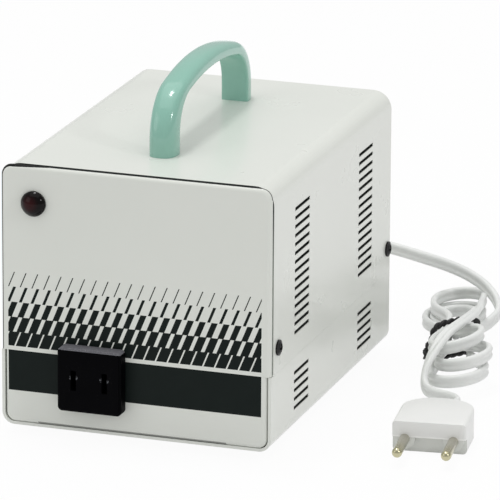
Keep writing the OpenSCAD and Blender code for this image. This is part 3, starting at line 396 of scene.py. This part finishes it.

# Case: cover and base, each a bent sheet of steel in cream-white stove enamel, with punched vent slots.
# The enamel has a faint orange-peel skin. The inside and the cover's front cut edge are painted dark as shade, which
# shows through the slots; towards the right the painted shade fades lighter as painted light.

wall_inside, seam_high, seam_half = 54.75, 34.1, 1.5
shade_low, shade_high, shade_front, shade_rear = 8.0, 98.0, -72.0, 65.0
cover_edge, cover_low, seam_close, seam_within = -76.6, 34.6, 0.00015, 0.00005
lit_side, lit_top, lit_fade = 40.0, 106.0, 30.0
enamel_dark, enamel_light, painted_lit_tone = srgb(225, 228, 221), srgb(232, 234, 228), srgb(176, 182, 174)


def axes(field, place):
    """The x, y and z fields of a place."""
    return [field.node("SeparateXYZ", None, {0: place}, out) for out in range(3)]


def enamel_skin(field, place):
    """The height of the enamel's orange peel."""
    return noise(field, place, 0.9, 2.0)


def merged_copy(node, name):
    """A copy of a solid with its loose triangles joined. It is left selected, as the active piece."""
    made = bpy.data.objects.new(name, nodes[node].data.copy())
    bpy.context.scene.collection.objects.link(made)
    bpy.ops.object.select_all(action="DESELECT")
    bpy.context.view_layer.objects.active = made
    made.select_set(True)
    bpy.ops.object.mode_set(mode="EDIT")
    bpy.ops.mesh.select_all(action="SELECT")
    bpy.ops.mesh.remove_doubles(threshold=0.000002)
    bpy.ops.object.mode_set(mode="OBJECT")
    return made


def shade_as_pressed(piece):
    """Rounds the look of the active piece's bends and keeps its flat faces flat."""
    bpy.ops.object.shade_smooth_by_angle(angle=math.radians(35))
    evening = piece.modifiers.new("evening", "WEIGHTED_NORMAL")
    evening.keep_sharp = True
    bpy.ops.object.modifier_apply(modifier="evening")


enamel, shader, field, place = new_finish("cream_enamel")
x, y, z = axes(field, place)
# Painted shade: the inside of the sheets and the cover's front cut edge are coloured dark, as they lie in shade.
inside = ((abs(x) < wall_inside) * (z > shade_low) * (z < shade_high) * (abs(z - seam_high) > seam_half)
          * (y > shade_front) * (y < shade_rear))
painted_shade = inside.either((y < cover_edge) * (z > cover_low))
# Painted light: at the right of the cover's front edge the painted shade fades to a lit grey, lighter lower down.
painted_light_right = (x > lit_side) * (y < cover_edge) * ((lit_top - z) / lit_fade).held(0.0, 1.0)
enamel_tone = noise(field, place, 0.012).mixed(enamel_dark, enamel_light)
feed(shader, Base_Color=painted_shade.mixed(enamel_tone, painted_light_right.mixed(srgb(40, 46, 42), painted_lit_tone)),
     Roughness=noise(field, place, 0.05) * 0.10 + 0.24 + painted_shade * 0.4,
     Normal=bump(field, enamel_skin(field, place), 0.05, 0.0003),
     Coat_Weight=(1 - painted_shade) * 0.25, Coat_Roughness=0.12)
wear(nodes["base_chassis"], enamel)
shell = merged_copy("top_cover", "cover_shell")
shell_low = min(vertex.co.z for vertex in shell.data.vertices)
for vertex in shell.data.vertices:
    if vertex.co.z < shell_low + seam_within:
        vertex.co.z -= seam_close
shade_as_pressed(shell)
wear(shell, enamel)
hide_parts("top_cover")
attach(shell, "case")
plain, shader, field, place = new_finish("rear_enamel")
feed(shader, Base_Color=noise(field, place, 0.012).mixed(enamel_dark, enamel_light),
     Roughness=noise(field, place, 0.05) * 0.10 + 0.24,
     Normal=bump(field, enamel_skin(field, place), 0.05, 0.0003), Coat_Weight=0.25, Coat_Roughness=0.12)
wear(nodes["rear_panel"], plain)

# Front panel: a shallow steel pan in the same enamel, screen-printed in one dark ink.
# The print is a plain band with rows of slanted bars above it that thin out row by row. Its back and the gap round
# its edge are painted dark as shade.

foot_high, face_plane, pan_back = 4.0, -79.2, -77.8
print_left, print_right, band_low, band_high = -52.1, 51.2, 14.1, 30.4
row_edges = [32.05, 37.8, 43.8, 49.85, 56.0, 61.95]
bar_widths = [4.2, 3.32, 2.5, 1.2, 0.45]
bar_pitch, bar_lean, bar_start, bar_middle = 4.806, 0.41, 50.28, 20.5
panel_half, panel_top, corner_old, corner_new = 54.85, 108.85, 7.35, 4.3
# The dark line round the panel is painted shade in the gap: it is widest at the left and thins out to the right.
line_low, line_top, line_turn = 34.4, 104.5, 50.0
line_wide, line_thin, line_slope = 3.5, 4.18, 0.045
sill_line, sill_left, sill_right, sill_share = 6.25, -40.0, 37.0, 0.6

printed, shader, field, place = new_finish("printed_enamel")
x, y, z = axes(field, place)
height = z - foot_high
bars = (height > band_low) * (height < band_high)
for low, high, wide in zip(row_edges, row_edges[1:], bar_widths):
    slant = (x - bar_start - (height - (low + high) / 2) * bar_lean) / bar_pitch + bar_middle
    apart = abs(field.math("FRACT", slant) - 0.5)
    bars = bars + (height > low) * (height < high) * (apart < wide / 2 / bar_pitch)
ink = bars * ((x > print_left) * (x < print_right)) * (y < face_plane)
ink_tone = noise(field, place, 0.15).mixed(srgb(14, 23, 21), srgb(20, 28, 26))
panel_tone = noise(field, place, 0.012).mixed(srgb(224, 227, 220), srgb(231, 233, 227))
corner_x = (abs(x) - (panel_half - corner_new)).either(0.0)
corner_z = (z - (panel_top - corner_new)).either(0.0)
from_corner = field.math("SQRT", corner_x * corner_x + corner_z * corner_z)
line_from = ((x + line_turn) * line_slope + line_wide).held(line_wide, line_thin)
# Painted shade: the flange behind the lip, the line round the panel's top and a faint line along its lower edge are
# coloured dark where the gap lies in shade.
behind = ((y > pan_back) * (z > line_low)).either((from_corner > line_wide) * (x < -line_turn) * (z > line_low))
behind = behind.either((from_corner > line_from) * (z > line_top))
behind = behind.either((z < sill_line) * (x > sill_left) * (x < sill_right) * sill_share)
# Painted light: at the right the panel's painted shade fades to a lit grey, lighter lower down.
painted_light_right = (x > lit_side) * ((lit_top - z) / lit_fade).held(0.0, 1.0)
gap_shade_and_light_tone = painted_light_right.mixed(srgb(22, 23, 22), painted_lit_tone)
feed(shader, Base_Color=behind.mixed(ink.mixed(panel_tone, ink_tone), gap_shade_and_light_tone),
     Roughness=noise(field, place, 0.05) * 0.10 + 0.26 + ink * 0.16,
     Normal=bump(field, enamel_skin(field, place) * 0.4 + ink, 0.06, 0.0003),
     Coat_Weight=(1 - ink) * (1 - behind) * 0.22, Coat_Roughness=0.12, Specular_IOR_Level=0.12)
pressing = merged_copy("front_panel", "front_pressing")
corner_side, corner_top, shift = panel_half - corner_old, panel_top - corner_old, corner_old - corner_new
for vertex in pressing.data.vertices:
    out, above = abs(vertex.co.x) * 1000 - corner_side, vertex.co.z * 1000 - corner_top
    if out > 0 and above > 0 and vertex.co.y < pan_back / 1000:
        angle = math.atan2(above, out)
        cosine, sine = math.cos(angle), math.sin(angle)
        if corner_old * min(cosine, sine) / max(cosine, sine) <= shift:
            edge = corner_old / max(cosine, sine)
        else:
            along = shift * (cosine + sine)
            edge = along + math.sqrt(along * along - 2 * shift * shift + corner_new * corner_new)
        grow = 1 + (edge / corner_old - 1) * min(1, math.hypot(out, above) / corner_old) ** 2
        vertex.co.x = math.copysign((corner_side + out * grow) / 1000, vertex.co.x)
        vertex.co.z = (corner_top + above * grow) / 1000
shade_as_pressed(pressing)
wear(pressing, printed)
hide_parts("front_panel")
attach(pressing, "case")

# Carry handle: a polished mint green moulding, an arch that is flat inside and rounded outside.
# A screw up through the cover into each leg holds it.

handle_wide, handle_middle, handle_foot = 11.2, -2.9, 109.0
handle_edge, handle_bulge = 0.8, 0.72
leg_steps, arc_steps, edge_steps, round_steps = 4, 24, 6, 48


def arch_points(half, straight, corner, high):
    """Points over a three-arc arch in y and z, from the rear foot to the front foot."""
    crown = ((half - corner) ** 2 + (high - straight) ** 2 - corner ** 2) / (2 * (high - straight - corner))
    bend = math.atan2(straight - high + crown, half - corner)
    leg = [(half, straight * k / leg_steps) for k in range(leg_steps)]
    arc = [bend * k / arc_steps for k in range(arc_steps + 1)]
    leg += [(half - corner + corner * math.cos(angle), straight + corner * math.sin(angle)) for angle in arc]
    top = []
    for k in range(1, 2 * arc_steps):
        angle = bend + (math.pi / 2 - bend) * k / arc_steps
        top.append((crown * math.cos(angle), high - crown + crown * math.sin(angle)))
    return leg + top + [(-a, b) for a, b in reversed(leg)]


def handle_section(depth):
    """Points round the handle, from the flat inside to so far out: outward, then across."""
    half = handle_wide / 2
    inner = []
    for k in range(edge_steps):
        angle = math.pi / 2 * k / edge_steps
        inner.append((handle_edge * (1 - math.cos(angle)), handle_edge * math.sin(angle) + half - handle_edge))
    outer = []
    for k in range(round_steps + 1):
        angle = math.pi * k / round_steps
        side = math.cos(angle)
        outer.append((handle_edge + (depth - handle_edge) * max(0, math.sin(angle)) ** handle_bulge,
                      math.copysign(half * abs(side) ** handle_bulge, side)))
    return inner + outer + [(a, -b) for a, b in reversed(inner)]


inner_arch = arch_points(half=40.3, straight=7.9, corner=14.8, high=25.4)
outer_arch = arch_points(half=49.6, straight=5.2, corner=22, high=30.8)
handle_rings = []
for (inner_y, inner_z), (outer_y, outer_z) in zip(inner_arch, outer_arch):
    start, outward = Vector((0, inner_y, inner_z)), Vector((0, outer_y - inner_y, outer_z - inner_z))
    section = handle_section(outward.length)
    outward.normalize()
    handle_rings.append([start + outward * a + Vector((b, handle_middle, handle_foot)) for a, b in section])
handle = swept_piece("handle_moulding", handle_rings)
mint, shader, field, place = new_finish("mint_moulding")
feed(shader, Base_Color=noise(field, place, 0.02, 2.0).mixed(srgb(136, 186, 169), srgb(146, 195, 180)),
     Roughness=noise(field, place, 0.06) * 0.08 + 0.14,
     Normal=bump(field, noise(field, place, 0.5, 2.0), 0.03, 0.0003), Coat_Weight=0.4, Coat_Roughness=0.06)
wear(handle, mint)
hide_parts("carry_handle")
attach(handle, "case")

# Pilot lamp: a domed lens of dark red plastic pressed into the panel, with a black holder and unlit neon behind it.
# The lens is coloured red in its middle and darker towards its rim, where it is nearly black.

lens_middle, lens_clear, lens_rim = (-42.0, -80.0, 94.6), 0.8, 4.2


def clear_glass(name, colour, rough):
    """Glass of one tint."""
    made, shader, field, place = new_finish(name)
    feed(shader, Base_Color=colour, Roughness=rough, Transmission_Weight=1.0)
    return made


lens, shader, field, place = new_finish("red_lens")
offset = field.node("VectorMath", {"operation": "SUBTRACT"}, {0: place, 1: lens_middle})
in_plane = field.node("VectorMath", {"operation": "MULTIPLY"}, {0: offset, 1: (1, 0, 1)})
from_middle = field.node("VectorMath", {"operation": "LENGTH"}, {0: in_plane}, 1)
rim = field.node("MapRange", {"interpolation_type": "SMOOTHSTEP"},
                 {"Value": from_middle, "From Min": lens_clear, "From Max": lens_rim})
feed(shader, Base_Color=rim.mixed(srgb(46, 12, 14), srgb(7, 3, 3)),
     Roughness=noise(field, place, 0.2) * 0.04 + 0.1,
     Normal=bump(field, noise(field, place, 0.25, 1.0), 0.05, 0.0004), Specular_IOR_Level=0.16)
wear(nodes["lamp_lens"], lens)
phenolic, shader, field, place = new_finish("black_phenolic")
grain = noise(field, place, 1.4, 4.0)
feed(shader, Base_Color=grain.mixed(srgb(6, 6, 8), srgb(16, 16, 18)), Roughness=grain * 0.2 + 0.36,
     Normal=bump(field, grain, 0.1, 0.0003), Specular_IOR_Level=0.3)
wear(nodes["lamp_body"], phenolic)
wear(nodes["neon_bulb"], clear_glass("bulb_glass", (0.95, 0.8, 0.7, 1), 0.08))

# Outlet: a black phenolic two-slot socket, clipped into the panel, with a slightly smaller front face.
# The face is smooth and dark, with painted glints at the slots. Its top face is painted grey as a sheen from the
# light above.

outlet_face, outlet_ledge, outlet_back, outlet_top = -85.3, -85.4, -79.4, 38.4
slot_middles, glint_high, glint_wide, glint_tall, glint_share = (-23.25, -10.55), 27.8, 1.9, 1.1, 0.47


def softened(node, name, width, body):
    """A copy of a solid with its sharp edges rounded as a moulding's are. It stands for the solid."""
    made = merged_copy(node, name)
    bpy.ops.object.mode_set(mode="EDIT")
    bpy.ops.mesh.select_all(action="SELECT")
    bpy.ops.mesh.dissolve_limited(angle_limit=math.radians(0.5))
    bpy.ops.object.mode_set(mode="OBJECT")
    rounding = made.modifiers.new("rounding", "BEVEL")
    rounding.width = width
    rounding.segments = 3
    rounding.limit_method = "ANGLE"
    rounding.angle_limit = math.radians(35)
    bpy.ops.object.modifier_apply(modifier="rounding")
    bpy.ops.object.shade_smooth_by_angle(angle=math.radians(40))
    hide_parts(node)
    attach(made, body)
    return made


socket, shader, field, place = new_finish("socket_phenolic")
x, y, z = axes(field, place)
grain = noise(field, place, 1.6, 4.0)
speck = field.math("MINIMUM", abs(grain - 0.5) * 5.0, 1.0)
# Painted sheen: the top face is coloured a speckled grey where it catches the light from above.
painted_top_sheen = (z > outlet_top) * (y > outlet_ledge) * (y < outlet_back)
# Painted glints: a broken light grey patch on the face at the middle of each slot.
painted_glint = 0.0
for middle in slot_middles:
    aside, above = (x - middle) / glint_wide, (z - glint_high) / glint_tall
    painted_glint = (aside * aside + above * above < 1.0) + painted_glint
painted_glint = painted_glint * (y < outlet_face) * (noise(field, place, 0.9, 2.0) > glint_share)
face_black = grain.mixed(srgb(2, 2, 4), srgb(6, 6, 8))
sheen_grey = speck.mixed(srgb(104, 104, 110), srgb(140, 140, 144))
feed(shader, Base_Color=painted_glint.mixed(painted_top_sheen.mixed(face_black, sheen_grey), srgb(92, 94, 98)),
     Roughness=grain * 0.2 + 0.4 + painted_top_sheen * 0.2, Normal=bump(field, grain, 0.08, 0.0003), Specular_IOR_Level=0.03)
outlet = softened("outlet_body", "outlet_socket", 0.0004, "case")
wear(outlet, socket)

# Cover screws: blacked steel pan heads with a cross recess, two on each side.
# They go through the cover into the side flanges of the front and rear panels.

blacked, shader, field, place = new_finish("blacked_steel")
feed(shader, Base_Color=noise(field, place, 0.8).mixed(srgb(10, 10, 11), srgb(26, 26, 27)), Metallic=0.6,
     Roughness=noise(field, place, 1.2) * 0.2 + 0.3)
screws = softened("cover_screws", "cover_screw_heads", 0.00015, "case")
wear(screws, blacked)

# Feet: moulded black rubber buttons under the base.
# Each is held by a screw that sits in its recess.

rubber, shader, field, place = new_finish("black_rubber")
feed(shader, Base_Color=noise(field, place, 0.5).mixed(srgb(20, 20, 20), srgb(36, 36, 36)),
     Roughness=noise(field, place, 0.7) * 0.15 + 0.65, Normal=bump(field, noise(field, place, 3.0), 0.2, 0.0002))
wear(nodes["rubber_feet"], rubber)

# Twist tie: two strands of black plastic-covered wire, passed round the middle of the hank and twisted together.
# The twisted end hangs down on the left.

tie_end = ((-15, -10.4, 4), (-13, -10.6, 6.5), (-10.5, -9.4, 9))
tie_place, tie_slant = -5.5, 0.45
tie_aside, tie_half, tie_middle, tie_half_high = 0.75, 8.9, 8.9, 7.1
strand_half, strand_apart, twist_long = 0.75, 0.65, 6
tie_points, tie_first, tie_turn, tie_steps, strand_points = 73, 175, 5, 4, 16
tie_plastic, shader, field, place = new_finish("tie_plastic")
feed(shader, Base_Color=noise(field, place, 0.6).mixed(srgb(6, 6, 7), srgb(20, 20, 21)),
     Roughness=noise(field, place, 0.5) * 0.2 + 0.4, Normal=bump(field, noise(field, place, 1.2), 0.25, 0.0004))
tie_route = [hank_place_at(*p) for p in tie_end]
for k in range(tie_points):
    angle = math.radians(tie_first - tie_turn * k)
    cosine, sine = math.cos(angle), math.sin(angle)
    across = tie_aside + tie_half * math.copysign(math.sqrt(abs(cosine)), cosine)
    high = tie_middle + tie_half_high * math.copysign(math.sqrt(abs(sine)), sine)
    tie_route.append(hank_place_at(tie_slant * across + tie_place, across, high))
tie_route = smooth_route(tie_route, tie_steps)
hank_far = hank_place_at(1, 0, 0) - hank_place_at(0, 0, 0)
tie_rings, tie_run = [], 0
for i, point in enumerate(tie_route):
    ahead = route_heading(tie_route, i)
    across = ahead.cross(hank_far).normalized()
    upward = across.cross(ahead)
    tie_run += (point - tie_route[max(i - 1, 0)]).length
    ring = []
    for k in range(strand_points):
        angle = 2 * math.pi * k / strand_points
        reach = strand_half + strand_apart * abs(math.cos(angle))
        angle += tie_run * 2 * math.pi / twist_long
        ring.append(point + reach * (math.cos(angle) * across + math.sin(angle) * upward))
    tie_rings.append(ring)
tie = swept_piece("hank_tie", tie_rings)
wear(tie, tie_plastic)
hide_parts("twist_tie")
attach(tie, "case")

# Plug: a white moulding with a rounded back and a stepped front, moulded onto the cord's end.
# Its two round pins are plated brass, set in shouldered collars. The rear bushing is of the same white plastic.

step_deep, step_low, step_high = 2.6, 6.3, 6.9
tip_from, tip_slope = 8, 0.1


def plug_depth(x, y):
    """How far behind the plug's front a place is."""
    return (x - plug_place.x) * plug_back.x + (y - plug_place.y) * plug_back.y


moulding, shader, field, place = new_finish("white_moulding")
x, y, z = axes(field, place)
# Painted shade: the recessed lower front below the step is coloured darker; painted highlight: a thin band at the
# step's edge is coloured lighter.
front = plug_depth(x, y) < step_deep
plug_tone = noise(field, place, 0.05).mixed(srgb(232, 233, 231), srgb(241, 241, 239))
shaded_step_tone = (front * (z < step_low)).mixed(plug_tone, srgb(220, 222, 217))
painted_step_highlight = front * (z > step_low) * (z < step_high)
feed(shader, Base_Color=painted_step_highlight.mixed(shaded_step_tone, srgb(248, 248, 246)),
     Roughness=noise(field, place, 0.3) * 0.1 + 0.3, Normal=bump(field, noise(field, place, 1.6), 0.05, 0.0002))
plug = softened("plug_body", "plug_moulding", 0.0009, "case")
wear(plug, moulding)
wear(nodes["cord_bushing"], moulding)
pin_metal, shader, field, place = new_finish("plated_pin")
x, y, z = axes(field, place)
worn_tip = (plug_depth(x, y) * -1 - tip_from) * tip_slope
plated = noise(field, place, 0.4).mixed(srgb(184, 181, 168), srgb(204, 201, 188))
feed(shader, Base_Color=worn_tip.mixed(plated, srgb(197, 192, 160)), Metallic=1.0,
     Roughness=noise(field, place, 0.9) * 0.12 + 0.18)
wear(nodes["plug_pins"], pin_metal)
[tuple(p / 1000) for p in cord_route]

# Fuse holder on the rear panel: a black moulded barrel, held by a nut behind the panel.
# Its fluted cap turns to unlock and carries the glass fuse, with its plated end caps, out with it.

for node, name, body in (("fuse_holder_body", "fuse_barrel", "case"), ("fuse_cap", "fuse_knob", "fuse_cap")):
    wear(softened(node, name, 0.0002, body), phenolic)
wear(nodes["fuse_holder_nut"], phenolic)
wear(nodes["glass_fuse"], clear_glass("fuse_glass", (0.9, 0.95, 0.94, 1), 0.05))
wear(nodes["fuse_end_caps"], pin_metal)

# Fixings and clips: zinc-plated steel screws, nuts, brackets and spring clips with a faint brushed tone.
# The contacts and terminal screws are bare brass.

zinc, shader, field, place = new_finish("zinc_steel")
feed(shader, Base_Color=noise(field, place, 0.3).mixed(srgb(168, 168, 170), srgb(196, 196, 198)), Metallic=1.0,
     Roughness=noise(field, place, 1.5) * 0.2 + 0.3)
for name in ("handle_screws", "panel_screws", "foot_screws", "mounting_screws", "core_brackets", "core_bolts",
             "core_nuts", "lamp_clip", "outlet_clip"):
    wear(nodes[name], zinc)
brass, shader, field, place = new_finish("contact_brass")
feed(shader, Base_Color=noise(field, place, 0.5).mixed(srgb(190, 150, 80), srgb(214, 178, 104)), Metallic=1.0,
     Roughness=noise(field, place, 1.0) * 0.15 + 0.25)
for name in ("outlet_contacts", "terminal_screws", "fuse_contact"):
    wear(nodes[name], brass)

# Core: stamped steel laminations, stacked and dipped in thin varnish.
# The sheets show as fine lines across the stack.

sheet_thick, gap_share = 0.5, 0.25
stack, shader, field, place = new_finish("lamination_stack")
x, y, z = axes(field, place)
lines = field.math("FRACT", y / sheet_thick)
feed(shader, Base_Color=(lines < gap_share).mixed(srgb(104, 100, 96), srgb(62, 56, 52)), Metallic=0.5,
     Roughness=noise(field, place, 0.6) * 0.2 + 0.4, Normal=bump(field, lines > gap_share, 0.3, 0.0001))
wear(nodes["core_laminations"], stack)

# Coil: a cream moulded bobbin with two enamelled copper windings, and a yellow tape wrap round them.
# The terminal block and the thermal cut-out are of the same cream plastic.

wire_waves, tape_wide, tape_seam = 9.0, 12.0, 0.04
copper, shader, field, place = new_finish("enamelled_copper")
x, y, z = axes(field, place)
wires = field.math("SINE", z * wire_waves)
feed(shader, Base_Color=(wires * 0.5 + 0.5).mixed(srgb(120, 58, 28), srgb(190, 104, 52)), Metallic=0.8,
     Roughness=0.35, Normal=bump(field, wires, 0.4, 0.0003))
for name in ("primary_winding", "secondary_winding"):
    wear(nodes[name], copper)
tape, shader, field, place = new_finish("coil_tape")
x, y, z = axes(field, place)
overlap = field.math("FRACT", z / tape_wide) < tape_seam
feed(shader, Base_Color=overlap.mixed(srgb(214, 188, 84), srgb(180, 150, 60)),
     Roughness=noise(field, place, 0.4) * 0.15 + 0.3)
wear(nodes["winding_wrap"], tape)
cream, shader, field, place = new_finish("cream_moulding")
feed(shader, Base_Color=noise(field, place, 0.1).mixed(srgb(222, 214, 188), srgb(234, 228, 206)),
     Roughness=noise(field, place, 0.5) * 0.15 + 0.45)
for name in ("bobbin", "terminal_block", "thermal_cutout"):
    wear(nodes[name], cream)

# Leads: thin PVC-covered copper wire between the terminal block, the coil, the outlet and the lamp.
# Blue is the supply, red the output and grey the lamp.

for name, dark, light in (("supply_leads", (40, 52, 120), (60, 74, 150)),
                          ("output_leads", (140, 30, 28), (170, 44, 40)),
                          ("lamp_leads", (70, 70, 72), (100, 100, 102))):
    cover, shader, field, place = new_finish(name + "_cover")
    feed(shader, Base_Color=noise(field, place, 0.3).mixed(srgb(*dark), srgb(*light)),
         Roughness=noise(field, place, 0.6) * 0.1 + 0.4)
    wear(nodes[name], cover)
